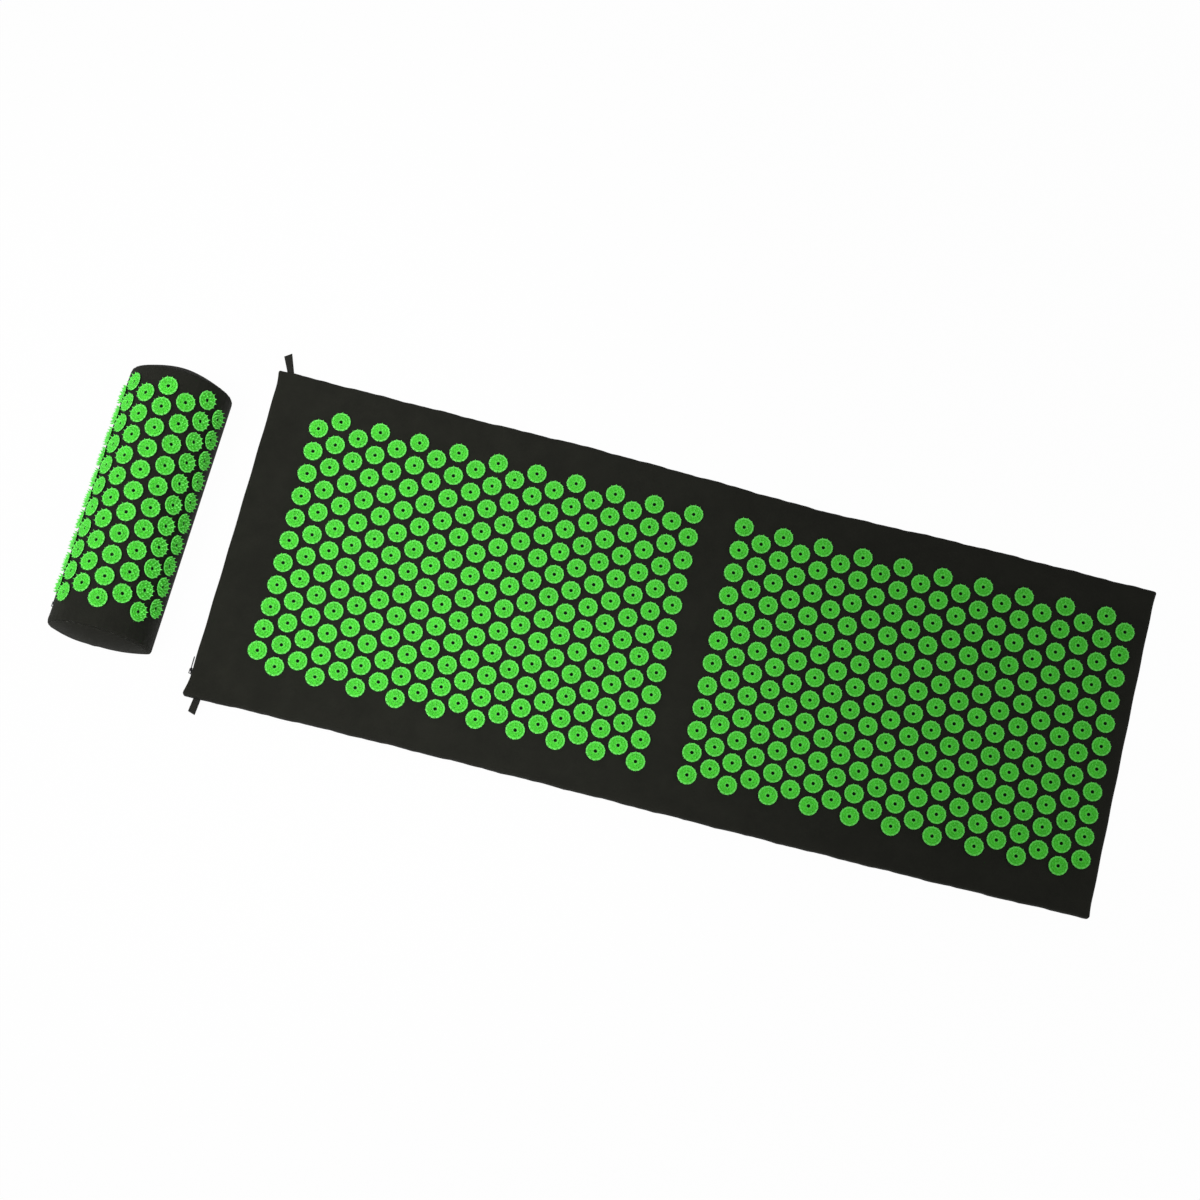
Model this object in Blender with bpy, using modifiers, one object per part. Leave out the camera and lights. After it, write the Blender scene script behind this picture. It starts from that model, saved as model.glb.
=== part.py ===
"""Acupressure mat with its half-round pillow, a Blender 4.5 script in metres, +Z up.

The mat lies flat along X with its head end at -X and its foot end at +X. The pillow stands
behind the head end. The origin is the middle of the mat's underside.
"""

import math

import bmesh
import bpy
from mathutils import Matrix, Vector

# Spiked discs, the same on mat and pillow
disc_pitch = 0.0334
disc_radius = 0.01425
disc_foot_radius = 0.0120
disc_height = 0.0060
disc_plate_height = 0.0014
disc_spike_radius = 0.0131
disc_bare_radius = 0.0062
disc_spikes = 6
disc_turn = math.radians(9)
film_thickness = 0.0004
film_edge = 0.0015

# Two fields of discs with a bare band between them
columns_in_field = 20
discs_in_long_column = 12
band_gap = 0.0740
head_margin = 0.0777
foot_margin = 0.0377
side_margin = 0.0593

# Mat body
mat_thickness = 0.0180
cloth_thickness = 0.0010
corner_radius = 0.0100
edge_rounding = 0.0090
edge_exponent = 3.5
side_draw_in = 0.0015
foam_inset = 0.0025
foam_bevel = 0.0035

# Ribbon loops
ribbon_width = 0.0100
ribbon_thickness = 0.0008
loop_length = 0.0260
loop_tip_radius = 0.0015
loop_root_half_gap = 0.0006
far_loop_from_head_end = 0.0149
near_loop_from_head_end = 0.0182
loop_root_gap = 0.0005
loop_pivot_offset = 0.0015
far_loop_lean_share = -0.43
near_loop_lean_share = -0.10
far_loop_skew_share = 0.70
near_loop_skew_share = 0.30

# Pillow
pillow_radius = 0.0743
pillow_edge_radius = 0.0090
pillow_pitch = 0.0318
pillow_column_angle = math.radians(22.6)
pillow_field_turn = math.radians(-3.1)
pillow_columns_each_side = 3
pillow_disc_turn = math.radians(26)
discs_in_long_pillow_column = 11
pillow_far_margin = 0.0270
pillow_near_margin = 0.0400
pillow_end_draw_in = 0.0030
pillow_end_roll = 0.0060
pillow_end_dome = 0.0150
pillow_zip_end_margin = 0.0200
pillow_to_mat = 0.0577
pillow_sideways = -0.0096
pillow_turn = math.radians(-1.3)
core_end_setback = 0.0065
core_end_bevel = 0.0034

# Zips
zip_opening = 0.0052
zip_slit = 0.0012
zip_tape_reach = 0.0060
zip_tape_thickness = 0.0006
zip_setback = 0.0013
zip_coil_width = 0.0016
zip_coil_depth = 0.0016
zip_stop_length = 0.0030
zip_end_rise = 0.0020
zip_wall_margin = 0.0019
mat_zip_end_margin = 0.0200
slider_length = 0.0090
slider_width = 0.0060
slider_plate = 0.0010
slider_corner = 0.0012
slider_bridge_length = 0.0030
slider_bridge_width = 0.0006
slider_rest_gap = 0.0010
bail_length = 0.0074
bail_post = 0.0010
bail_clear = 0.0020
bail_top = 0.0009
bail_width = 0.0014
pull_length = 0.0220
pull_width = 0.0050
pull_thickness = 0.0010
pull_bar = 0.0010
pull_window_length = 0.0044
pull_window_width = 0.0022

# Clearances and small shared sizes
touch_gap = 0.0003
tip_clearance = 0.0016
zip_room = 0.0010
cut_overrun = 0.0100

# Rolled edge: the angles, as shares of a quarter turn, at which its section has a point
edge_angle_shares = (0.24, 0.52, 0.78, 1.0)
corner_steps = 3
side_steps = 6
arc_steps = 12
bend_steps = 6
disc_foot_sides = 4

# Domed ends of the pillow: how much smaller each ring is than the section, and where the rings'
# middle lies, as a share of the radius above the middle of the arch
end_ring_shares = (0, 0.10, 0.25, 0.45, 0.70)
end_middle_share = 0.32

# Rolled ends of the pillow's long panels: places along the roll, and how far drawn in, as shares
end_roll_shares = ((0, 1), (0.125, 0.5), (0.4, 0.14), (1, 0))

# Worked out from the sizes above
column_step = disc_pitch * math.sqrt(3) / 2
field_length = (columns_in_field - 1) * column_step
mat_length = head_margin + 2 * field_length + band_gap + foot_margin
mat_width = (discs_in_long_column - 1) * disc_pitch + 2 * side_margin
head_x = -mat_length / 2
foot_x = mat_length / 2
half_width = mat_width / 2
half_thickness = mat_thickness / 2
fold_x = head_x + head_margin + field_length + band_gap / 2
disc_seat_z = mat_thickness + touch_gap
fold_z = disc_seat_z + disc_height + tip_clearance
zip_half_opening = zip_opening / 2
tape_front = -(cloth_thickness + zip_setback)
tape_back = tape_front - zip_tape_thickness
coil_back = tape_front + touch_gap
coil_front = coil_back + zip_coil_depth
inner_plate_front = tape_back - touch_gap
inner_plate_back = inner_plate_front - slider_plate
outer_plate_back = touch_gap
outer_plate_front = outer_plate_back + slider_plate
pull_pivot_n = outer_plate_front + bail_clear / 2
zip_depth = -inner_plate_back + zip_room
pillow_straight_wall = zip_opening + 2 * zip_wall_margin
pillow_arc_z = pillow_edge_radius + pillow_straight_wall
pillow_zip_z = pillow_edge_radius + pillow_straight_wall / 2
pillow_field_length = (discs_in_long_pillow_column - 1) * pillow_pitch
pillow_half_length = (pillow_field_length + pillow_far_margin + pillow_near_margin) / 2
pillow_field_y = (pillow_near_margin - pillow_far_margin) / 2
pillow_x = head_x - pillow_to_mat - pillow_radius
end_middle_z = pillow_arc_z + end_middle_share * pillow_radius

# Colours, linear
cloth_colour = (0.022, 0.021, 0.017, 1)
disc_colour = (0.060, 0.720, 0.045, 1)
foam_colour = (0.52, 0.52, 0.50, 1)
zip_colour = (0.012, 0.012, 0.012, 1)
zip_metal_colour = (0.030, 0.030, 0.032, 1)


def clear_objects():
    """An empty scene to build in."""
    for old in list(bpy.data.objects):
        bpy.data.objects.remove(old, do_unlink=True)


def new_collection(name):
    collection = bpy.data.collections.new(name)
    bpy.context.scene.collection.children.link(collection)
    return collection


clear_objects()
parts = new_collection("acupressure_mat")
cutters = new_collection("cutters")


def finish(obj, colour, roughness, metallic=0.0):
    """Gives an object its own material."""
    material = bpy.data.materials.new(obj.name + "_finish")
    material.use_nodes = True
    shader = material.node_tree.nodes["Principled BSDF"]
    shader.inputs["Base Color"].default_value = colour
    shader.inputs["Roughness"].default_value = roughness
    shader.inputs["Metallic"].default_value = metallic
    material.diffuse_color = colour
    obj.data.materials.clear()
    obj.data.materials.append(material)


def cloth_finish(obj):
    finish(obj, cloth_colour, 0.95)


def disc_finish(obj):
    finish(obj, disc_colour, 0.42)


def foam_finish(obj):
    finish(obj, foam_colour, 0.98)


def zip_finish(obj):
    finish(obj, zip_colour, 0.6)


def zip_metal_finish(obj):
    finish(obj, zip_metal_colour, 0.35, 0.9)


def add_object(name, data, collection=parts, parent=None):
    obj = bpy.data.objects.new(name, data)
    collection.objects.link(obj)
    obj.parent = parent
    return obj


def mesh_from(name, bm):
    mesh = bpy.data.meshes.new(name)
    bm.to_mesh(mesh)
    bm.free()
    return mesh


def add_empty(name, place, parent=None):
    """A joint's or a sub-assembly's own frame."""
    empty = add_object(name, None, parent=parent)
    empty.matrix_basis = place
    return empty


def box_mesh(name, low, high):
    """A box between two corners."""
    middle = (Vector(low) + Vector(high)) / 2
    size = Vector(high) - Vector(low)
    bm = bmesh.new()
    place = Matrix.Translation(middle) @ Matrix.Diagonal((*size, 1))
    bmesh.ops.create_cube(bm, size=1, matrix=place)
    return mesh_from(name, bm)


def flat_shape(name, outlines, thickness):
    """A flat piece from its outline and the outlines of its holes, in the XY plane."""
    curve = bpy.data.curves.new(name, "CURVE")
    curve.dimensions = "2D"
    curve.fill_mode = "BOTH"
    curve.extrude = thickness / 2
    for outline in outlines:
        spline = curve.splines.new("POLY")
        spline.points.add(len(outline) - 1)
        for point, (x, y) in zip(spline.points, outline):
            point.co = (x, y, 0, 1)
        spline.use_cyclic_u = True
    return curve


def thicken(obj, thickness, offset=-1.0):
    """Gives an open sheet its thickness, by default on its inner side."""
    solidify = obj.modifiers.new("cloth", "SOLIDIFY")
    solidify.thickness = thickness
    solidify.offset = offset
    solidify.use_even_offset = True


def combine(obj, other, operation):
    """Joins another object to this one, or cuts this one with it."""
    other.hide_render = True
    other.display_type = "WIRE"
    boolean = obj.modifiers.new(other.name, "BOOLEAN")
    boolean.operation = operation
    boolean.object = other


def arc_points(centre_x, centre_y, radius, start, end, steps):
    """Points along an arc, with both its ends, angles in degrees."""
    points = []
    for step in range(steps + 1):
        angle = math.radians(start + (end - start) * step / steps)
        points.append((centre_x + radius * math.cos(angle), centre_y + radius * math.sin(angle)))
    return points


def between(first, last, steps):
    """The points that divide a straight run evenly, without its ends."""
    points = []
    for step in range(1, steps):
        share = step / steps
        points.append(tuple(a + (b - a) * share for a, b in zip(first, last)))
    return points


# The mat's cover and its foam


def mat_outline(inset, head_inset):
    """The mat's plan outline, anticlockwise, drawn in by inset and at the head end by head_inset.

    The head end has extra points where the zip's opening starts and stops.
    """
    radius = corner_radius - inset
    left, right = head_x + head_inset, foot_x - inset
    top = half_width - inset
    foot_far = arc_points(right - radius, top - radius, radius, 0, 90, corner_steps)
    head_far = arc_points(left + radius, top - radius, radius, 90, 180, corner_steps)
    head_near = arc_points(left + radius, radius - top, radius, 180, 270, corner_steps)
    foot_near = arc_points(right - radius, radius - top, radius, 270, 360, corner_steps)
    open_y = half_width - mat_zip_end_margin
    zip_ys = (open_y, open_y - zip_end_rise, zip_end_rise - open_y, -open_y)
    far_side = between(foot_far[-1], head_far[0], side_steps)
    near_side = between(head_near[-1], foot_near[0], side_steps)
    zip_points = [(left, y) for y in zip_ys]
    return foot_far + far_side + head_far + zip_points + head_near + near_side + foot_near


def edge_point(angle_share):
    """How far in and how high the rolled edge's section is, a superellipse's quarter."""
    angle = angle_share * math.pi / 2
    power = 2 / edge_exponent
    inward = edge_rounding * (1 - abs(math.cos(angle)) ** power)
    height = half_thickness * math.sin(angle) ** power
    return inward, height


def draw_in_sides(bm):
    """Pulls the long sides in between the corners, as sewn cloth over foam is."""
    for vert in bm.verts:
        middle_share = 1 - (vert.co.x / foot_x) ** 4
        vert.co.y *= 1 - side_draw_in / half_width * middle_share


def keep_half(bm, half, fill):
    """Keeps the head or the foot half, up to a small gap at the fold."""
    sign = 1 if half == "head" else -1
    cut = bmesh.ops.bisect_plane(
        bm,
        geom=bm.verts[:] + bm.edges[:] + bm.faces[:],
        plane_co=(fold_x - sign * touch_gap / 2, 0, 0),
        plane_no=(sign, 0, 0),
        clear_outer=True,
    )
    if fill:
        edges = [item for item in cut["geom_cut"] if isinstance(item, bmesh.types.BMEdge)]
        bmesh.ops.holes_fill(bm, edges=edges, sides=len(edges))


def mat_panel(half, side):
    """One half of the upper or the lower cloth panel, from its seam over its rolled edge."""
    bm = bmesh.new()
    rim_z = touch_gap / 2
    corners = [bm.verts.new((x, y, rim_z)) for x, y in mat_outline(0, 0)]
    face = bm.faces.new(corners)
    face.normal_update()
    inward, height = 0, rim_z
    for angle_share in edge_angle_shares:
        next_inward, next_height = edge_point(angle_share)
        bmesh.ops.inset_region(
            bm,
            faces=[face],
            thickness=next_inward - inward,
            depth=next_height - height,
            use_boundary=True,
            use_even_offset=True,
        )
        inward, height = next_inward, next_height
    open_y = half_width - mat_zip_end_margin - zip_end_rise / 2
    for corner in corners:
        if corner.co.x < head_x + touch_gap and abs(corner.co.y) < open_y:
            corner.co.z = zip_half_opening
    draw_in_sides(bm)
    keep_half(bm, half, fill=False)
    if side == "bottom":
        bmesh.ops.scale(bm, vec=(1, 1, -1), verts=bm.verts)
        bmesh.ops.reverse_faces(bm, faces=bm.faces)
    return mesh_from(f"{half}_cover_{side}", bm)


def mat_foam(half):
    """One half of the foam slab, with softened edges, clear of the cover all round."""
    half_height = half_thickness - cloth_thickness - touch_gap
    bm = bmesh.new()
    head_inset = zip_depth + touch_gap
    outline = mat_outline(foam_inset, head_inset)
    face = bm.faces.new([bm.verts.new((x, y, -half_height)) for x, y in outline])
    raised = bmesh.ops.extrude_face_region(bm, geom=[face])["geom"]
    top = [item for item in raised if isinstance(item, bmesh.types.BMVert)]
    bmesh.ops.translate(bm, verts=top, vec=(0, 0, 2 * half_height))
    bmesh.ops.recalc_face_normals(bm, faces=bm.faces)
    rims = [edge for edge in bm.edges if edge.calc_face_angle() > math.radians(60)]
    bmesh.ops.bevel(bm, geom=rims, offset=foam_bevel, segments=2, profile=0.5, affect="EDGES")
    draw_in_sides(bm)
    keep_half(bm, half, fill=True)
    bmesh.ops.recalc_face_normals(bm, faces=bm.faces)
    return mesh_from(f"{half}_foam", bm)


# Spiked discs on their glue film


def disc_ring(centre, radius, z, sides, turn):
    """Evenly spaced points round a disc's axis."""
    points = []
    for step in range(sides):
        angle = turn + math.tau * step / sides
        points.append((centre[0] + radius * math.cos(angle), centre[1] + radius * math.sin(angle), z))
    return points


def stitch_rings(bm, inner, outer):
    """Triangles between two rings about one axis that start at the same angle."""
    at_inner = at_outer = 0
    while at_inner < len(inner) or at_outer < len(outer):
        first, second = inner[at_inner % len(inner)], outer[at_outer % len(outer)]
        if (at_outer + 0.5) / len(outer) < (at_inner + 0.5) / len(inner):
            at_outer += 1
            bm.faces.new((first, second, outer[at_outer % len(outer)]))
        else:
            at_inner += 1
            bm.faces.new((first, second, inner[at_inner % len(inner)]))


def disc_strip_mesh(name, centres, turn):
    """Discs on one rectangle of glue film. Its underside is at z = 0.

    Each disc is a thin plate that flares from a square foot. Its rim rises to spikes with dips
    between them, and its middle is bare.
    """
    dip_turn = turn + math.pi / disc_spikes
    foot_corners = disc_ring((0, 0), disc_foot_radius, 0, disc_foot_sides, dip_turn)
    foot_reach = max(abs(value) for point in foot_corners for value in point)
    reach = foot_reach + film_edge
    low_x = min(x for x, y in centres) - reach
    high_x = max(x for x, y in centres) + reach
    low_y = min(y for x, y in centres) - reach
    high_y = max(y for x, y in centres) + reach
    corners = ((low_x, low_y), (high_x, low_y), (high_x, high_y), (low_x, high_y))
    bm = bmesh.new()
    lower = [bm.verts.new((x, y, 0)) for x, y in corners]
    upper = [bm.verts.new((x, y, film_thickness)) for x, y in corners]
    bm.faces.new(lower[::-1])
    edges = []
    for step in range(len(corners)):
        following = (step + 1) % len(corners)
        bm.faces.new((lower[step], lower[following], upper[following], upper[step]))
        edges.append(bm.edges.get((upper[step], upper[following])))
    crowns = []
    for centre in centres:
        foot = [bm.verts.new(point) for point in
                disc_ring(centre, disc_foot_radius, film_thickness, disc_foot_sides, dip_turn)]
        tips = [bm.verts.new(point) for point in
                disc_ring(centre, disc_spike_radius, disc_height, disc_spikes, turn)]
        dips = [bm.verts.new(point) for point in
                disc_ring(centre, disc_radius, disc_plate_height, disc_spikes, dip_turn)]
        bare = [bm.verts.new(point) for point in
                disc_ring(centre, disc_bare_radius, disc_plate_height, disc_spikes // 2, turn)]
        for step in range(disc_foot_sides):
            edges.append(bm.edges.new((foot[step], foot[(step + 1) % disc_foot_sides])))
        crowns.append((foot, tips, dips, bare))
    bmesh.ops.triangle_fill(bm, use_beauty=True, edges=edges, normal=(0, 0, 1))
    for foot, tips, dips, bare in crowns:
        stitch_rings(bm, foot, dips)
        for spike, tip in enumerate(tips):
            bm.faces.new((tip, dips[spike - 1], dips[spike]))
        stitch_rings(bm, bare, [point for pair in zip(tips, dips) for point in pair])
        bm.faces.new(bare)
    bmesh.ops.recalc_face_normals(bm, faces=bm.faces)
    return mesh_from(name, bm)


def column_ys(count, pitch):
    """Places along one column, about its middle."""
    return [(index - (count - 1) / 2) * pitch for index in range(count)]


def mat_strip_mesh():
    """A short and a long column side by side, the short one towards -X."""
    short = [(-column_step / 2, y) for y in column_ys(discs_in_long_column - 1, disc_pitch)]
    long = [(column_step / 2, y) for y in column_ys(discs_in_long_column, disc_pitch)]
    return disc_strip_mesh("disc_pair", short + long, disc_turn)


# Ribbon loops


def loop_mesh(name, lean_share, skew_share):
    """A ribbon folded back on itself, standing out along +Y from its root at y = 0.

    Its section is a hairpin: two layers close together at the root and a round bend at the tip.
    It leans to one side, and its tip is folded askew, so that one edge is longer.
    """
    tip_y = loop_length - loop_tip_radius
    half_gap = loop_root_half_gap
    upper = [(0, half_gap), (tip_y / 2, (half_gap + loop_tip_radius) / 2)]
    bend = arc_points(tip_y, 0, loop_tip_radius, 90, -90, bend_steps)
    lower = [(y, -z) for y, z in reversed(upper)]
    bm = bmesh.new()
    path = [bm.verts.new((-ribbon_width / 2, y, z)) for y, z in upper + bend + lower]
    edges = [bm.edges.new(pair) for pair in zip(path, path[1:])]
    swept = bmesh.ops.extrude_edge_only(bm, edges=edges)["geom"]
    far = [item for item in swept if isinstance(item, bmesh.types.BMVert)]
    bmesh.ops.translate(bm, verts=far, vec=(ribbon_width, 0, 0))
    for vert in bm.verts:
        across, out = vert.co.x, vert.co.y
        vert.co.x += lean_share * out
        vert.co.y += skew_share * across * out / loop_length - loop_pivot_offset
    return mesh_from(name, bm)


def add_loop(side, sign, from_head_end, lean_share, skew_share):
    """A loop whose origin is the line that it swings about, just outside the side seam."""
    loop = add_object(f"{side}_loop", loop_mesh(f"{side}_loop", lean_share * sign, skew_share * sign))
    root_y = half_width + loop_root_gap + loop_pivot_offset
    place = Matrix.Translation((head_x + from_head_end, sign * root_y, half_thickness))
    if sign < 0:
        place = place @ Matrix.Rotation(math.pi, 4, "Z")
    loop.matrix_basis = place
    thicken(loop, ribbon_thickness, offset=0.0)
    cloth_finish(loop)


# Zips, made along u, across v and outwards n, then placed on their wall


def zip_box(name, low, high, place, parent, paint):
    piece = add_object(name, box_mesh(name, low, high), parent=parent)
    piece.matrix_basis = place
    paint(piece)
    return piece


def bevelled_plate(name, low, high):
    """A slider plate with rounded corners."""
    bm = bmesh.new()
    bm.from_mesh(box_mesh(name + "_block", low, high))
    upright = [edge for edge in bm.edges if abs(edge.verts[0].co.z - edge.verts[1].co.z) > slider_plate / 2]
    bmesh.ops.bevel(bm, geom=upright, offset=slider_corner, segments=2, profile=0.5, affect="EDGES")
    return mesh_from(name, bm)


def slider_piece(name, low, high, place, parent):
    """A block that a union joins to the slider."""
    piece = add_object(name, box_mesh(name, low, high), collection=cutters, parent=parent)
    piece.matrix_basis = place
    return piece


def pull_curve(name):
    """The pull tab: a flat tongue along -u with a window, so that its end bar turns in the bail."""
    half = pull_width / 2
    near = pull_bar / 2
    tip = near - pull_length + half
    outer = [(near, -half), (near, half)] + arc_points(tip, 0, half, 90, 270, bend_steps)
    window_half = pull_window_width / 2
    window = ((-near, -window_half), (-near, window_half),
              (-near - pull_window_length, window_half), (-near - pull_window_length, -window_half))
    return flat_shape(name, (outer, window), pull_thickness)


def add_zip(prefix, place, chain_half, tape_half, parent):
    """Tapes, coil rows, stops, slider and pull tab of one zip, with its slider at the +u end."""
    slit = zip_slit / 2
    row_edge = slit + zip_coil_width
    for row, sign in (("upper", 1), ("lower", -1)):
        spans = sorted((sign * slit, sign * zip_tape_reach))
        zip_box(f"{prefix}_zip_{row}_tape", (-tape_half, spans[0], tape_back),
                (tape_half, spans[1], tape_front), place, parent, zip_finish)
        spans = sorted((sign * slit, sign * row_edge))
        zip_box(f"{prefix}_zip_{row}_coil", (-chain_half, spans[0], coil_back),
                (chain_half, spans[1], coil_front), place, parent, zip_finish)
    for end, sign in (("near", 1), ("far", -1)):
        start = sign * (chain_half + touch_gap)
        spans = sorted((start, start + sign * zip_stop_length))
        zip_box(f"{prefix}_zip_{end}_stop", (spans[0], -row_edge, coil_back),
                (spans[1], row_edge, coil_front), place, parent, zip_metal_finish)

    half_length, half_wide = slider_length / 2, slider_width / 2
    slider_place = place @ Matrix.Translation((chain_half - half_length - slider_rest_gap, 0, 0))
    outer = bevelled_plate(f"{prefix}_zip_slider", (-half_length, -half_wide, outer_plate_back),
                           (half_length, half_wide, outer_plate_front))
    slider = add_object(f"{prefix}_zip_slider", outer, parent=parent)
    slider.matrix_basis = slider_place
    zip_metal_finish(slider)
    inner = add_object(f"{prefix}_slider_inner_plate", bevelled_plate(
        f"{prefix}_slider_inner_plate", (-half_length, -half_wide, inner_plate_back),
        (half_length, half_wide, inner_plate_front)), collection=cutters, parent=parent)
    inner.matrix_basis = slider_place
    overlap = slider_plate / 2
    bail_foot = outer_plate_front - overlap
    bail_under = outer_plate_front + bail_clear
    half_bail, half_bail_wide = bail_length / 2, bail_width / 2
    bridge_half, bridge_side = slider_bridge_length / 2, slider_bridge_width / 2
    bridge = slider_piece(f"{prefix}_slider_bridge", (-bridge_half, -bridge_side, inner_plate_front - overlap),
                          (bridge_half, bridge_side, outer_plate_back + overlap), slider_place, parent)
    combine(slider, bridge, "UNION")
    combine(slider, inner, "UNION")
    for end, sign in (("front", 1), ("rear", -1)):
        spans = sorted((sign * half_bail, sign * (half_bail - bail_post)))
        post = slider_piece(f"{prefix}_slider_{end}_post", (spans[0], -half_bail_wide, bail_foot),
                            (spans[1], half_bail_wide, bail_under + bail_top / 2), slider_place, parent)
        combine(slider, post, "UNION")
    top = slider_piece(f"{prefix}_slider_bail_top", (-half_bail, -half_bail_wide, bail_under),
                       (half_bail, half_bail_wide, bail_under + bail_top), slider_place, parent)
    combine(slider, top, "UNION")

    pull = add_object(f"{prefix}_zip_pull", pull_curve(f"{prefix}_zip_pull"), parent=parent)
    pull.matrix_basis = slider_place @ Matrix.Translation((0, 0, pull_pivot_n))
    zip_metal_finish(pull)


# The pillow


def pillow_section(inset):
    """The pillow's section in x and z, from the right bottom corner over the top to the left one."""
    edge = pillow_edge_radius
    corner_x = pillow_radius - edge
    right = arc_points(corner_x, edge, edge - inset, -90, 0, corner_steps)
    arch = arc_points(0, pillow_arc_z, pillow_radius - inset, 0, 180, arc_steps)
    left = arc_points(-corner_x, edge, edge - inset, 180, 270, corner_steps)
    return right, arch, left


def pillow_stations():
    """Places along the pillow, each with how far the cloth is drawn in there.

    The ends are rolled in, and the zip's opening starts and stops at stations of its own.
    """
    half = pillow_half_length
    zip_half = half - pillow_zip_end_margin
    far = [(half - run_share * pillow_end_roll, inward_share * pillow_end_draw_in)
           for run_share, inward_share in end_roll_shares]
    far += [(zip_half, 0), (zip_half - zip_end_rise, 0)]
    return [(-y, inset) for y, inset in far] + far[::-1]


def zip_rim(y):
    """Half the gap between the two panels at the zip's height."""
    if abs(y) < pillow_half_length - pillow_zip_end_margin - zip_end_rise / 2:
        return zip_half_opening
    return touch_gap / 2


def join_rows(bm, row, following, closed=False):
    """Faces between two rows that have the same number of points."""
    count = len(row)
    for step in range(count if closed else count - 1):
        after = (step + 1) % count
        bm.faces.new((row[step], following[step], following[after], row[after]))


def lofted_panel(name, sections):
    """A sheet through sections that have the same number of points."""
    bm = bmesh.new()
    rows = [[bm.verts.new(point) for point in section] for section in sections]
    for row, following in zip(rows, rows[1:]):
        join_rows(bm, row, following)
    return mesh_from(name, bm)


def seam_points(first, last):
    """Where the two panels end, a small gap apart, at the middle of one run of the section."""
    run = Vector(last) - Vector(first)
    middle = Vector(first) + run / 2
    half_gap = run.normalized() * touch_gap / 2
    return tuple(middle - half_gap), tuple(middle + half_gap)


def pillow_top_mesh():
    """The arched panel, from the seam on the mat's side over the top to the zip."""
    sections = []
    for y, inset in pillow_stations():
        right, arch, left = pillow_section(inset)
        seam = seam_points(right[1], right[2])[1]
        wall_x = inset - pillow_radius
        points = [seam, *right[2:], *arch, (wall_x, pillow_zip_z + zip_rim(y))]
        sections.append([(x, y, z) for x, z in points])
    return lofted_panel("pillow_top_panel", sections)


def pillow_base_mesh():
    """The base panel, which also wraps the back corner up to the zip."""
    sections = []
    for y, inset in pillow_stations():
        right, arch, left = pillow_section(inset)
        wall_x = inset - pillow_radius
        seam = seam_points(right[1], right[2])[0]
        points = [(wall_x, pillow_zip_z - zip_rim(y)), *left, *right[:2], seam]
        sections.append([(x, y, z) for x, z in points])
    return lofted_panel("pillow_base_panel", sections)


def section_loop(inset):
    """The whole section as one closed loop of points in x and z."""
    right, arch, left = pillow_section(inset)
    return right + arch + left


def dome_rings(sign, inset, seam_y):
    """Rings of the section from the seam inwards, each smaller and further out along a parabola."""
    rings = []
    for share in end_ring_shares:
        size = 1 - share
        y = sign * (seam_y + pillow_end_dome * (1 - size * size))
        rings.append([(x * size, y, end_middle_z + (z - end_middle_z) * size)
                      for x, z in section_loop(inset)])
    return rings


def pillow_end_mesh(name, sign):
    """An end panel, sewn to the ends of the other two and domed by the foam behind it."""
    seam_y = pillow_half_length + touch_gap + cloth_thickness
    bm = bmesh.new()
    rows = [[bm.verts.new(point) for point in ring]
            for ring in dome_rings(sign, pillow_end_draw_in, seam_y)]
    for row, following in zip(rows, rows[1:]):
        join_rows(bm, row, following, closed=True)
    bm.faces.new(rows[-1])
    bmesh.ops.recalc_face_normals(bm, faces=bm.faces)
    if bm.faces[-1].normal.y * sign < 0:
        bmesh.ops.reverse_faces(bm, faces=bm.faces)
    return mesh_from(name, bm)


def pillow_core_mesh():
    """The foam core, whose domed ends stay clear of the rolled cloth."""
    inset = cloth_thickness + touch_gap
    straight_end = pillow_half_length - core_end_setback
    near, far = [[[(x, sign * straight_end, z) for x, z in section_loop(inset)],
                  *dome_rings(sign, inset + core_end_bevel, pillow_half_length - touch_gap)]
                 for sign in (-1, 1)]
    bm = bmesh.new()
    rows = [[bm.verts.new(point) for point in ring] for ring in near[::-1] + far]
    for row, following in zip(rows, rows[1:]):
        join_rows(bm, row, following, closed=True)
    bm.faces.new(rows[0])
    bm.faces.new(rows[-1])
    bmesh.ops.recalc_face_normals(bm, faces=bm.faces)
    return mesh_from("pillow_core", bm)


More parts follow.
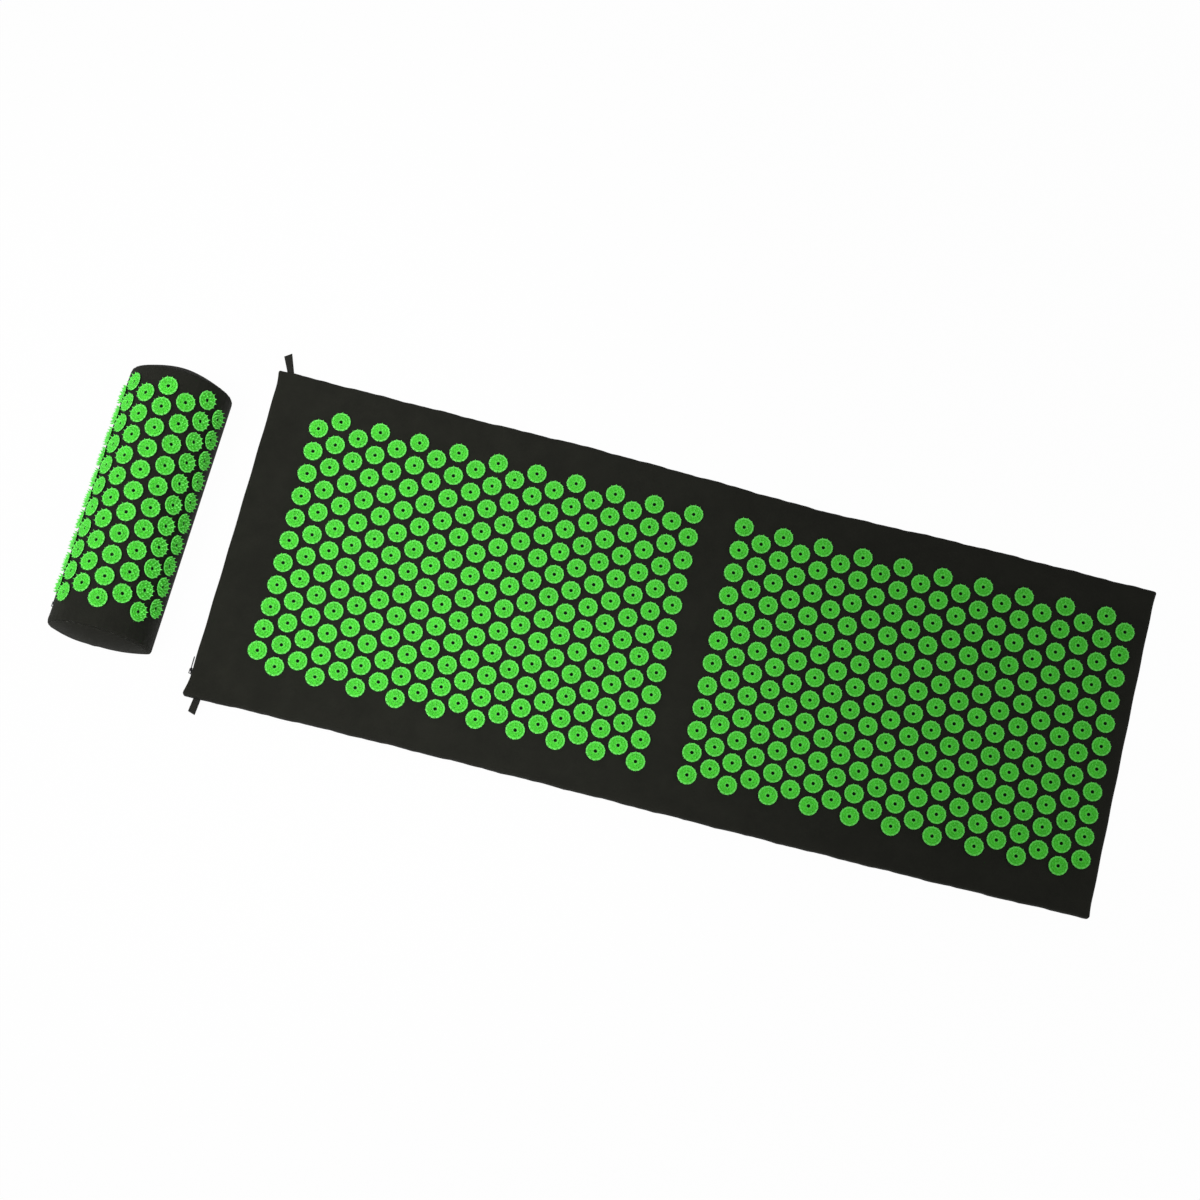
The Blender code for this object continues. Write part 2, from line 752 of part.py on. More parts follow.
def build_mat():
    """The mat's cover, foam, discs, loops and zip. The foot half hangs on the fold's axis."""
    middle = Matrix.Translation((0, 0, half_thickness))
    fold_axis = Matrix.Translation((fold_x, 0, fold_z))
    foot_half = add_empty("foot_half", fold_axis)
    to_foot = fold_axis.inverted()
    for half in ("head", "foot"):
        parent = foot_half if half == "foot" else None
        base = to_foot if half == "foot" else Matrix.Identity(4)
        for side in ("top", "bottom"):
            panel = add_object(f"{half}_cover_{side}", mat_panel(half, side), parent=parent)
            panel.matrix_basis = base @ middle
            thicken(panel, cloth_thickness)
            cloth_finish(panel)
        foam = add_object(f"{half}_foam", mat_foam(half), parent=parent)
        foam.matrix_basis = base @ middle
        foam_finish(foam)
    pairs = columns_in_field // 2
    for index in range(pairs):
        from_fold = band_gap / 2 + (2 * index + 0.5) * column_step
        for half, sign in (("head", -1), ("foot", 1)):
            strip = add_object(f"{half}_discs_{index + 1:02d}", mat_strip_mesh(),
                               parent=foot_half if half == "foot" else None)
            place = Matrix.Translation((fold_x + sign * from_fold, 0, disc_seat_z))
            if half == "foot":
                place = to_foot @ place @ Matrix.Rotation(math.pi, 4, "Z")
            strip.matrix_basis = place
            disc_finish(strip)
    add_loop("far", 1, far_loop_from_head_end, far_loop_lean_share, far_loop_skew_share)
    add_loop("near", -1, near_loop_from_head_end, near_loop_lean_share, near_loop_skew_share)
    head_wall = Matrix(((0, 0, -1, head_x), (-1, 0, 0, 0), (0, 1, 0, half_thickness), (0, 0, 0, 1)))
    tape_half = half_width - mat_zip_end_margin
    add_zip("mat", head_wall, tape_half - zip_stop_length - zip_end_rise, tape_half, None)


def build_pillow():
    """The pillow in its own frame, which is turned a little and stands behind the head end."""
    place = Matrix.Translation((pillow_x, pillow_sideways, 0)) @ Matrix.Rotation(pillow_turn, 4, "Z")
    pillow = add_empty("pillow", place)
    panels = (("pillow_top_panel", pillow_top_mesh()), ("pillow_base_panel", pillow_base_mesh()),
              ("pillow_near_end", pillow_end_mesh("pillow_near_end", -1)),
              ("pillow_far_end", pillow_end_mesh("pillow_far_end", 1)))
    for name, mesh in panels:
        panel = add_object(name, mesh, parent=pillow)
        thicken(panel, cloth_thickness)
        cloth_finish(panel)
    core = add_object("pillow_core", pillow_core_mesh(), parent=pillow)
    foam_finish(core)
    groove_half = zip_tape_reach + touch_gap
    groove = add_object("core_groove", box_mesh(
        "core_groove",
        (-pillow_radius - cut_overrun, -pillow_half_length - cut_overrun, pillow_zip_z - groove_half),
        (zip_depth - pillow_radius, pillow_half_length + cut_overrun, pillow_zip_z + groove_half)),
        collection=cutters, parent=pillow)
    combine(core, groove, "DIFFERENCE")
    seat = pillow_radius + touch_gap
    for index in range(-pillow_columns_each_side, pillow_columns_each_side + 1):
        count = discs_in_long_pillow_column - index % 2
        name = f"pillow_discs_{index + pillow_columns_each_side + 1}"
        centres = [(0, y) for y in column_ys(count, pillow_pitch)]
        strip = add_object(name, disc_strip_mesh(name, centres, pillow_disc_turn), parent=pillow)
        turn = Matrix.Rotation(index * pillow_column_angle + pillow_field_turn, 4, "Y")
        strip.matrix_basis = (Matrix.Translation((0, pillow_field_y, pillow_arc_z)) @ turn
                              @ Matrix.Translation((0, 0, seat)))
        disc_finish(strip)
    back_wall = Matrix(((0, 0, -1, -pillow_radius), (-1, 0, 0, 0), (0, 1, 0, pillow_zip_z), (0, 0, 0, 1)))
    tape_half = pillow_half_length - pillow_zip_end_margin
    add_zip("pillow", back_wall, tape_half - zip_stop_length - zip_end_rise, tape_half, pillow)


build_mat()
build_pillow()
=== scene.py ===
"""Acupressure mat with its half-round pillow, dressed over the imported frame. Metres, +Z up.

The mat lies along X with its head end at -X. The sections follow the set as it is put together:
the mat's cover and foam, its discs, its ribbon loops, its zip, then the pillow, then the floor.
"""

import math

import bpy
import numpy as np
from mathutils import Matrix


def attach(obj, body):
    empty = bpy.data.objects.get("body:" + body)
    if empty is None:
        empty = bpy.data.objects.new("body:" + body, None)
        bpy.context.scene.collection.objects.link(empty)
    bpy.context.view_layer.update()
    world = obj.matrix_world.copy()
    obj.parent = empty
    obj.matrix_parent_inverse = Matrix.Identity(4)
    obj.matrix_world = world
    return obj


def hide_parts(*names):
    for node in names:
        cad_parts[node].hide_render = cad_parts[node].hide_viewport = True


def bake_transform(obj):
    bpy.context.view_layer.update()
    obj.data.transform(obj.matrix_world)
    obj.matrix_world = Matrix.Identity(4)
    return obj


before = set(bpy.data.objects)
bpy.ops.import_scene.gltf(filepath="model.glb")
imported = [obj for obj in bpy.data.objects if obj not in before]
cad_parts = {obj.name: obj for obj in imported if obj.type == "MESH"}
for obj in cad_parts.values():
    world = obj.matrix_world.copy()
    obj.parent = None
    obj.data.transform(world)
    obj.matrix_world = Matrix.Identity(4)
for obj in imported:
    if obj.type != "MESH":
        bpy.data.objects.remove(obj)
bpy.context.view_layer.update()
collection = bpy.context.scene.collection

# Camera
# High above the near side of the mat, a little left of its middle, with a long lens, so that the
# mat shows nearly as a plan and the pillow's near end just shows.

focal_length = 84
sensor_width = 36
camera_place = (-0.0491, -0.9646, 3.8310)
camera_turn = (14.4143, -2.6066, 14.0588)

lens = bpy.data.cameras.new("camera")
lens.lens = focal_length
lens.sensor_width = sensor_width
camera = bpy.data.objects.new("camera", lens)
camera.location = camera_place
camera.rotation_euler = [math.radians(turn) for turn in camera_turn]
collection.objects.link(camera)
bpy.context.scene.camera = camera
bpy.context.scene.view_settings.view_transform = "Standard"

# Mat cover
# Two panels of near-black cotton canvas, sewn inside out along the sides and the foot, and pulled
# tight over a thin foam slab. The edges roll over, and the corners keep small ears of loose cloth.

mat_half_length = 0.64428
mat_half_width = 0.243
mat_half_thickness = 0.009
mat_corner_radius = 0.0040
mat_roll = 0.009
mat_roll_power = 3.5
mat_hem = 0.003
mat_seam_gap = 0.00015
mat_zip_half_opening = 0.0026
mat_zip_half_length = 0.221
zip_mouth = 0.002
head_run = 0.65
foot_run = 0.62
cross_run = 0.46
edge_lines = 8
fold_lines = 25
side_wander_from = 0.19
end_wander_from = 0.60
far_side_drawn_in = (-0.0048, 0.16, 0.14)
far_side_let_out = (0.0018, -0.20, 0.09)
near_side_taper = 0.0043
near_taper_run = 0.6
ear_reach = 0.030
head_ear = 0.0034
foot_ear = 0.0020
head_bow = 0.0009
foot_bow = 0.0004
fold_x = 0.02
fold_half_band = 0.012
fold_margin = 0.002
panel_steps = {"top": 0.006, "bottom": 0.009}
canvas_thread = 0.00075
canvas_relief = 0.00018
# Painted shade: how much the threads' height lightens their crowns and darkens the dips between them.
weave_shade_in_colour = 0.12
lint_in_relief = 0.8
mottle_low = 0.72
mottle_high = 1.28
weave_strength = 0.6
canvas_dark = (0.0110, 0.0113, 0.0080, 1)
canvas_light = (0.0190, 0.0194, 0.0140, 1)


def sewn_sheet(name, points, cloth, around=False, flip=False):
    """A grid of points as one sheet of quads that faces where its rows cross its columns.

    cloth is each point's place on the flat cloth, in metres, and becomes the UV map. With around,
    the last column joins the first, and cloth has one column more than the points.
    """
    rows, columns = points.shape[:2]
    index = np.arange(rows * columns).reshape(rows, columns)
    if around:
        index = np.hstack([index, index[:, :1]])
    place = np.arange(index.size).reshape(index.shape)
    corners = [grid[part].ravel() for grid in (index, place)
               for part in (np.s_[:-1, :-1], np.s_[1:, :-1], np.s_[1:, 1:], np.s_[:-1, 1:])]
    quads = np.stack(corners[:4], axis=1)
    places = np.stack(corners[4:], axis=1)
    if flip:
        quads, places = quads[:, ::-1], places[:, ::-1]
    mesh = bpy.data.meshes.new(name)
    mesh.from_pydata(points.reshape(-1, 3), [], quads.tolist())
    layer = mesh.uv_layers.new(name="cloth")
    layer.uv.foreach_set("vector", cloth.reshape(-1, 2)[places.ravel()].astype(np.float32).ravel())
    mesh.shade_smooth()
    piece = bpy.data.objects.new(name, mesh)
    collection.objects.link(piece)
    return piece


def laid_flat(points):
    """Each grid point's place on the flat cloth: how far it is along the middle row and column."""
    middle_row = points[:, points.shape[1] // 2]
    middle_column = points[points.shape[0] // 2]
    along = [np.append(0, np.cumsum(np.linalg.norm(np.diff(line, axis=0), axis=1)))
             for line in (middle_row, middle_column)]
    return np.stack(np.meshgrid(*along, indexing="ij"), axis=-1)


def ease(share):
    """A smooth step from 0 to 1."""
    share = np.clip(share, 0, 1)
    return share * share * (3 - 2 * share)


def roll_inward(steps):
    """How far in from the seam the rolled edge's lines lie, a superellipse's quarter turn."""
    angle = np.linspace(0, math.pi / 2, steps + 1)
    return mat_roll * (1 - np.abs(np.cos(angle)) ** (2 / mat_roll_power))


def mat_lines(step):
    """The grid's lines along and across the mat, close together at the edges and at the fold.

    In the plain stretches between, a run of so many metres gets a line at about every step.
    """
    edge = roll_inward(edge_lines)[:-1]
    inner = mat_half_length - mat_roll
    near_fold = fold_half_band + fold_margin
    middle = [np.linspace(-inner, fold_x - near_fold, round(head_run / step)),
              np.linspace(fold_x - near_fold, fold_x + near_fold, fold_lines)[1:-1],
              np.linspace(fold_x + near_fold, inner, round(foot_run / step))]
    along = np.concatenate([edge - mat_half_length, *middle, mat_half_length - edge[::-1]])
    side = np.linspace(mat_roll - mat_half_width, mat_half_width - mat_roll, round(cross_run / step))
    across = np.concatenate([edge - mat_half_width, side, mat_half_width - edge[::-1]])
    return along, across


def cloth_swell(x, y):
    """The pad's slow unevenness: three crossing waves, at most 0.5 mm high together."""
    swell = np.sin(x * 31 + 1.3) * np.sin(y * 47 + 0.4)
    swell = swell + 0.6 * np.sin(x * 73 - y * 29 + 2.1) + 0.4 * np.sin(x * 17 + y * 101)
    return 0.00025 * swell


def bump_along(x, height, place, reach):
    """A smooth bump along x: e to the minus square of the distance over the reach."""
    return height * np.exp(-((x - place) / reach) ** 2)


def mat_plan(x, y):
    """The pad as it really lies: its sides wander a few millimetres and its corners have ears.

    The far side is drawn in right of the middle, and the near side tapers towards the foot with
    the cube of x. Three sine waves ripple both sides, and the ends bow in between their ears.
    """
    out = ease((np.abs(y) - side_wander_from) / (mat_half_width - side_wander_from))
    far = 0.0005 + bump_along(x, *far_side_drawn_in) + bump_along(x, *far_side_let_out)
    near = 0.0003 - near_side_taper * (x / near_taper_run) ** 3
    ripple = 0.0004 * np.sin(x * 61 + 1) + 0.0003 * np.sin(x * 143 + y * 9)
    ripple = ripple + 0.0002 * np.sin(x * 290)
    y = y + out * (np.where(y > 0, far, -near) + np.sign(y) * ripple)
    end = ease((np.abs(x) - end_wander_from) / (mat_half_length - end_wander_from))
    ear = np.clip((np.abs(y) - mat_half_width + ear_reach) / ear_reach, 0, 1) ** 2
    ear_out = np.where(x < 0, head_ear, foot_ear) * ear
    bow = np.where(x < 0, head_bow, foot_bow) * np.cos(y * 6) + 0.0003 * np.sin(y * 83 + 1)
    x = x + end * np.sign(x) * (ear_out - bow)
    return x, y


def pad_face(along, across, half_thickness):
    """One face of the pad, on a grid of lines along and across it.

    In plan a square grid whose corners are pressed round. Its height follows a superellipse over
    the rolled edge, by the distance from the outline, and is flat inside it.
    """
    x, y = np.meshgrid(along, across, indexing="ij")
    radius = mat_corner_radius
    flat_x, flat_y = mat_half_length - radius, mat_half_width - radius
    u = np.clip((np.abs(x) - flat_x) / radius, 0, 1)
    v = np.clip((np.abs(y) - flat_y) / radius, 0, 1)
    corner = (u > 0) & (v > 0)
    x = np.where(corner, np.sign(x) * (flat_x + radius * u * np.sqrt(1 - v * v / 2)), x)
    y = np.where(corner, np.sign(y) * (flat_y + radius * v * np.sqrt(1 - u * u / 2)), y)
    past_x, past_y = np.abs(x) - flat_x, np.abs(y) - flat_y
    outside = np.hypot(np.maximum(past_x, 0), np.maximum(past_y, 0))
    outside = outside + np.minimum(np.maximum(past_x, past_y), 0) - radius
    depth = np.clip(-outside / mat_roll, 0, 1)
    z = half_thickness * (1 - (1 - depth) ** mat_roll_power) ** (1 / mat_roll_power)
    return x, y, z, depth


def mat_panel(name, side, step):
    """One panel, from the hem inside its seam, over the rolled edge, and across the pad."""
    along, across = mat_lines(step)
    x, y, z, depth = pad_face(along, across, mat_half_thickness)
    z = np.maximum(z, mat_seam_gap)
    at_zip = ease((mat_zip_half_length - np.abs(y[0])) / zip_mouth)
    z[0] = mat_seam_gap + at_zip * (mat_zip_half_opening - mat_seam_gap)
    if side > 0:
        z = z + depth * cloth_swell(x, y)
    x, y = mat_plan(x, y)
    points = np.pad(np.stack([x, y, z], axis=-1), ((1, 1), (1, 1), (0, 0)), mode="edge")
    points[0, :, 0] += mat_hem
    points[-1, :, 0] -= mat_hem
    points[:, 0, 1] += mat_hem
    points[:, -1, 1] -= mat_hem
    cloth = laid_flat(points)
    points[..., 2] = mat_half_thickness + side * points[..., 2]
    return sewn_sheet(name, points, cloth, flip=side < 0)


def add_node(tree, kind, values=None, **settings):
    """One node, with each input set to a value or joined to another node's output."""
    made = tree.nodes.new(kind)
    for name, value in settings.items():
        setattr(made, name, value)
    for name, value in (values or {}).items():
        if isinstance(value, bpy.types.NodeSocket):
            tree.links.new(value, made.inputs[name])
        else:
            made.inputs[name].default_value = value
    return made


def new_finish(name, roughness, **uniform):
    """A material, with the values that are the same all over set on its shader."""
    material = bpy.data.materials.new(name)
    material.use_nodes = True
    shader = material.node_tree.nodes["Principled BSDF"]
    shader.inputs["Roughness"].default_value = roughness
    for socket, value in uniform.items():
        shader.inputs[socket.replace("_", " ")].default_value = value
    return material, material.node_tree, shader


def worked_out(tree, operation, *values, **settings):
    """What ADD, MULTIPLY or SINE gives, or MULTIPLY_ADD: the first times the second, plus the third."""
    made = add_node(tree, "ShaderNodeMath", dict(enumerate(values)), operation=operation, **settings)
    return made.outputs[0]


def noise(tree, scale, detail=2, roughness=0.5):
    """Clouds of noise about the piece's own place, so many to the metre."""
    values = {"Scale": scale, "Detail": detail, "Roughness": roughness}
    values["Vector"] = add_node(tree, "ShaderNodeTexCoord").outputs["Object"]
    return add_node(tree, "ShaderNodeTexNoise", values).outputs[0]


def share_of(tree, value, low, high):
    """0 to 1 as the value goes from low to high."""
    return add_node(tree, "ShaderNodeMapRange", {0: value, 1: low, 2: high}).outputs[0]


def mixed(tree, share, first, second):
    """The first colour where the share is 0, the second where it is 1."""
    mix = add_node(tree, "ShaderNodeMix", {0: share, 6: first, 7: second}, data_type="RGBA")
    return mix.outputs[2]


def lay_on(tree, shader, colour, height=None, distance=0, strength=1):
    """Gives the shader its colour, and its relief where a height is given."""
    tree.links.new(colour, shader.inputs["Base Color"])
    if height is not None:
        relief = {"Height": height, "Distance": distance, "Strength": strength}
        raised = add_node(tree, "ShaderNodeBump", relief)
        tree.links.new(raised.outputs[0], shader.inputs["Normal"])


def woven_finish(name, thread, dark, light, relief, roughness=0.92, rib=False):
    """Cloth: threads cross over and under one another on the UV map, over a mottled colour.

    The height is the product of a sine along and a sine across, or one sine for a ribbed ribbon.
    It also goes into the colour as painted shade, darker in the dips between threads.
    Wear mottles the cloth in patches of a few centimetres, and lint in specks of a millimetre.
    """
    material, tree, shader = new_finish(name, roughness, Specular_IOR_Level=0.25)
    cloth = add_node(tree, "ShaderNodeUVMap", uv_map="cloth")
    split = add_node(tree, "ShaderNodeSeparateXYZ", {0: cloth.outputs[0]})
    turns = [worked_out(tree, "MULTIPLY", split.outputs[axis], math.pi / thread) for axis in (0, 1)]
    waves = [worked_out(tree, "SINE", turn) for turn in turns]
    height = waves[0] if rib else worked_out(tree, "MULTIPLY", *waves)
    wear = noise(tree, scale=28, detail=6, roughness=0.65)
    lint = noise(tree, scale=900)
    mottle = worked_out(tree, "ADD", wear, lint)
    # The thread height is painted into the colour as shade, on top of the mottle.
    mottle_and_weave_shade = worked_out(tree, "MULTIPLY_ADD", height, weave_shade_in_colour, mottle)
    colour = mixed(tree, share_of(tree, mottle_and_weave_shade, mottle_low, mottle_high), dark, light)
    fibre = worked_out(tree, "MULTIPLY_ADD", lint, lint_in_relief, height)
    lay_on(tree, shader, colour, fibre, relief, weave_strength)
    return material


canvas = woven_finish("canvas", canvas_thread, canvas_dark, canvas_light, canvas_relief)
for side, name in ((1, "top"), (-1, "bottom")):
    panel = mat_panel(f"mat_cover_{name}", side, panel_steps[name])
    panel.data.materials.append(canvas)
    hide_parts(f"head_cover_{name}", f"foot_cover_{name}")
    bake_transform(panel)

# Mat foam
# One slab of pale open-cell foam as long as the cover, with softened edges. It is cut back a
# little at the head end, behind the zip.

foam_gap = 0.0016
foam_head_setback = 0.0046
slab_step = 0.012
slab_seam = 0.001
foam_pale = (0.56, 0.55, 0.50, 1)
foam_shade = (0.40, 0.39, 0.34, 1)


def foam_finish(name):
    """Open-cell foam: small round cells, with painted shade where they are deep."""
    material, tree, shader = new_finish(name, 0.95, Specular_IOR_Level=0.15)
    place = add_node(tree, "ShaderNodeTexCoord").outputs["Object"]
    cells = add_node(tree, "ShaderNodeTexVoronoi", {"Vector": place, "Scale": 1100})
    rise = cells.outputs["Distance"]
    # Painted shade: the cells' colour darkens with their depth.
    lay_on(tree, shader, mixed(tree, rise, foam_shade, foam_pale), rise, distance=0.0004)
    return material


def mat_slab():
    """The slab as a tube of sections across the mat, each a rounded bar, closed at both ends."""
    along, across = mat_lines(slab_step)
    x, y, z, _ = pad_face(along, across, mat_half_thickness - foam_gap)
    setback = np.where(x < 0, foam_head_setback, foam_gap)
    x, y = mat_plan(x * (1 - setback / mat_half_length), y * (1 - foam_gap / mat_half_width))
    upper = np.stack([x, y, mat_half_thickness + z], axis=-1)
    lower = np.stack([x, y, mat_half_thickness - z], axis=-1)
    ring = np.concatenate([upper, lower[:, -2:0:-1]], axis=1)
    girth = np.append(0, np.cumsum(np.linalg.norm(np.diff(ring[len(ring) // 2], axis=0), axis=1)))
    girth = np.append(girth, girth[-1] + slab_seam)
    run = np.append(0, np.cumsum(np.linalg.norm(np.diff(ring[:, 0], axis=0), axis=1)))
    return ring, np.stack(np.meshgrid(run, girth, indexing="ij"), axis=-1)


slab_points, slab_cloth = mat_slab()
mat_slab_piece = sewn_sheet("mat_foam", slab_points, slab_cloth, around=True)
open_cell = foam_finish("open_cell_foam")
mat_slab_piece.data.materials.append(open_cell)
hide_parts("head_foam", "foot_foam")
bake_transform(mat_slab_piece)

# Mat discs
# Green discs moulded in one piece: a round plate that flares from its foot, with a small hole in
# its middle and three rings of sharp three-sided spikes. Each is glued on by itself, turned anyhow,
# and the columns of the two fields lean and stretch a little with the cloth.

disc_pitch = 0.0334
disc_seat = 0.0183
plate_foot_radius = 0.0115
plate_radius = 0.0136
plate_height = 0.0018
plate_bevel = 0.0005
hole_radius = 0.0028
hole_taper = 0.0006
hole_floor = 0.0002
hole_middle = 0.0001
plate_sides = 16
spike_rings = ((6, 0.0054, 0.0), (9, 0.0090, 0.5), (12, 0.0128, 0.0))
spike_tip = 0.0055
spike_half_width = 0.00150
spike_half_depth = 0.00120
spike_lean = 0.07
spike_sunk = 0.0002
band_gap = 0.074
columns_in_field = 20
longest_column = 12
glue_error = 0.00022
disc_green = (0.086, 0.765, 0.038, 1)
disc_green_deep = (0.050, 0.535, 0.020, 1)
# Painted highlight: the next colour lightens the plate's edge, the spikes and faint rings.
disc_green_highlight = (0.220, 0.950, 0.170, 1)
# Painted shade: the next colour darkens the hole.
disc_hole_shade = (0.0005, 0.0060, 0.0004, 1)
# The painted highlight's strength at each reach: a ring round the hole, a faint ring halfway out, and
# most at the plate's edge and on the spikes.
painted_highlight_rings = ((0.20, 0.5), (0.28, 0.5), (0.40, 0.0), (0.60, 0.2), (0.78, 0.0), (0.91, 1.0))


def disc_plate():
    """The plate about Z, standing on z = 0: a closed profile carried round the axis.

    It runs from the foot over the bevelled edge and down into the hole, which has a thin floor.
    """
    profile = np.array([(plate_foot_radius, 0), (plate_radius, plate_height - plate_bevel),
                        (plate_radius - plate_bevel, plate_height), (hole_radius, plate_height),
                        (hole_radius - hole_taper, hole_floor), (hole_middle, hole_floor)])
    grid = (plate_sides, len(profile))
    angle = np.arange(plate_sides) * math.tau / plate_sides
    round_axis = np.stack([np.cos(angle), np.sin(angle)], axis=-1)
    points = np.concatenate([profile[None, :, :1] * round_axis[:, None],
                             np.broadcast_to(profile[None, :, 1:], (*grid, 1))], axis=-1)
    index = np.arange(plate_sides * len(profile)).reshape(grid)
    after = np.roll(index, -1, axis=0)
    faces = [index, after, np.roll(after, -1, axis=1), np.roll(index, -1, axis=1)]
    return points.reshape(-1, 3), np.stack(faces, axis=-1).reshape(-1, 4)


def disc_spikes():
    """The spikes in their rings: a three-sided foot sunk in the plate, and a tip that leans out.

    spike_rings gives each ring's count, its radius, and the share of a step that it starts at.
    """
    turn = np.concatenate([(np.arange(count) + start) * math.tau / count
                           for count, _, start in spike_rings])
    reach = np.concatenate([np.full(count, radius) for count, radius, _ in spike_rings])
    out = np.stack([np.cos(turn), np.sin(turn), 0 * turn], axis=-1)
    across = np.stack([-np.sin(turn), np.cos(turn), 0 * turn], axis=-1) * spike_half_width
    foot_z = plate_height - spike_sunk
    foot = out * reach[:, None] + [0, 0, foot_z]
    deep = out * spike_half_depth
    points = np.stack([foot - deep - across, foot + deep, foot - deep + across,
                       foot + out * reach[:, None] * spike_lean + [0, 0, spike_tip - foot_z]],
                      axis=1)
    first = 4 * np.arange(len(points))[:, None, None]
    sides = np.array([(2, 1, 0), (0, 1, 3), (1, 2, 3), (2, 0, 3)])
    return points.reshape(-1, 3), (first + sides).reshape(-1, 3)


def disc_field(name, centres, axes, finish):
    """Many discs as one mesh. axes holds each disc's own three directions, as rows.

    The point attribute reach goes from 0 in the middle of the hole to 1 at the plate's edge. It is
    0.7 at the plate's foot, 0.86 at the spikes' feet and 1 at their tips.
    """
    plate, plate_faces = disc_plate()
    spikes, spike_faces = disc_spikes()
    points = np.concatenate([plate, spikes])
    plate_reach = [0.7, 1, 0.98, hole_radius / plate_radius, 0.12, 0]
    spike_reach = [0.86, 0.86, 0.86, 1]
    reach = np.concatenate([np.tile(plate_reach, plate_sides),
                            np.tile(spike_reach, len(spikes) // len(spike_reach))])
    placed = np.einsum("pk,dkr->dpr", points, axes) + centres[:, None]
    shift = len(points) * np.arange(len(centres))[:, None, None]
    faces = (plate_faces + shift).reshape(-1, 4).tolist()
    faces += (spike_faces + len(plate) + shift).reshape(-1, 3).tolist()
    mesh = bpy.data.meshes.new(name)
    mesh.from_pydata(placed.reshape(-1, 3), [], faces)
    mesh.attributes.new("reach", "FLOAT", "POINT").data.foreach_set(
        "value", np.tile(reach, len(centres)).astype(np.float32))
    mesh.materials.append(finish)
    piece = bpy.data.objects.new(name, mesh)
    collection.objects.link(piece)
    return piece


def disc_finish(name):
    """Moulded plastic with a satin gloss, a little deeper in colour here and there.

    By the attribute reach it has a painted highlight at the plate's edge, on the spikes, most at their
    tips, and in faint rings, and painted shade down the hole. The ramp's stops give the painted
    highlight's strength at each reach.
    """
    material, tree, shader = new_finish(name, 0.50, Specular_IOR_Level=0.10)
    cloudy = share_of(tree, noise(tree, scale=60, detail=7, roughness=0.75), 0.35, 0.65)
    body = mixed(tree, cloudy, disc_green_deep, disc_green)
    reach = add_node(tree, "ShaderNodeAttribute", attribute_name="reach").outputs["Fac"]
    rings = add_node(tree, "ShaderNodeValToRGB", {0: reach})
    stops = rings.color_ramp.elements
    for position, _ in painted_highlight_rings[1:-1]:
        stops.new(position)
    for stop, (position, paleness) in zip(stops, painted_highlight_rings):
        stop.position = position
        stop.color = (paleness, paleness, paleness, 1)
    # Painted highlight: the ramp mixes the pale green into the body.
    highlighted = mixed(tree, rings.outputs[0], body, disc_green_highlight)
    # Painted shade: near black down the hole, where the recess is shaded.
    hole_shade_share = share_of(tree, reach, 0.18, 0.12)
    colour = mixed(tree, hole_shade_share, highlighted, disc_hole_shade)
    lay_on(tree, shader, colour, noise(tree, scale=1500), 0.0001, 0.35)
    return material


def mat_disc_centres(sign):
    """The centres of one field: columns alternate between 12 and 11 discs, away from the fold."""
    column_step = disc_pitch * math.sqrt(3) / 2
    field = []
    for column in range(columns_in_field):
        count = longest_column - column % 2
        x = fold_x + sign * (band_gap / 2 + column * column_step)
        y = disc_pitch * (np.arange(count) - (count - 1) / 2)
        field.append(np.stack([np.full(count, x), y], axis=-1))
    return np.concatenate(field)


def glued_place(x, y):
    """Where a disc of the even pattern really sits, a few millimetres off, in metres.

    The columns lean by 14 mm in a metre. Along the mat the pattern stretches with the square and
    the cube of x, and the rows drift with the squares of x and y.
    """
    along = -0.0008 - 0.0142 * y - 0.0081 * x + 0.0130 * x ** 2 + 0.0266 * x ** 3
    along = along + 0.124 * x * y ** 2
    across = -0.0030 - 0.0049 * x + 0.0135 * x ** 2 + 0.0147 * x ** 3 + 0.106 * y ** 2
    return x + along, y + across


def turned_about_z(count, chance):
    """The discs' directions, each turned about its axis by chance."""
    angle = chance.uniform(0, math.tau, count)
    axes = np.zeros((count, 3, 3))
    axes[:, 0] = np.stack([np.cos(angle), np.sin(angle), 0 * angle], axis=-1)
    axes[:, 1] = np.stack([-np.sin(angle), np.cos(angle), 0 * angle], axis=-1)
    axes[:, 2, 2] = 1
    return axes


moulded = disc_finish("moulded_plastic")
chance = np.random.default_rng(seed=7)
for half, sign in (("head", -1), ("foot", 1)):
    flat = np.stack(glued_place(*mat_disc_centres(sign).T), axis=-1)
    flat = flat + chance.normal(0, glue_error, flat.shape)
    seat = disc_seat + cloth_swell(flat[:, 0], flat[:, 1])
    discs = disc_field(f"{half}_discs", np.column_stack([flat, seat]),
                       turned_about_z(len(flat), chance), moulded)
    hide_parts(*[f"{half}_discs_{pair:02d}" for pair in range(1, 11)])
    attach(discs, f"{half}_half")

# Ribbon loops
# A short length of ribbed ribbon folded back on itself, its two ends sewn into the side seam
# close to each head corner. Both lean towards the head end, and their tips are folded askew.

loop_length = 0.026
loop_seam_y = 0.2435
loop_width = 0.010
loop_tuck = 0.12
loop_root_bow = 0.0005
loop_curl = 0.0009
loop_tip_radius = 0.0013
ribbon_thickness = 0.0007
ribbon_rib = 0.0011
ribbon_dark = (0.0105, 0.0105, 0.0080, 1)
ribbon_light = (0.0160, 0.0158, 0.0120, 1)
ribbon_relief = 0.0002
loop_lays = {"far": dict(sign=1, root_x=-0.62938, lean=-0.43, skew=0.70),
             "near": dict(sign=-1, root_x=-0.62608, lean=-0.10, skew=0.30)}


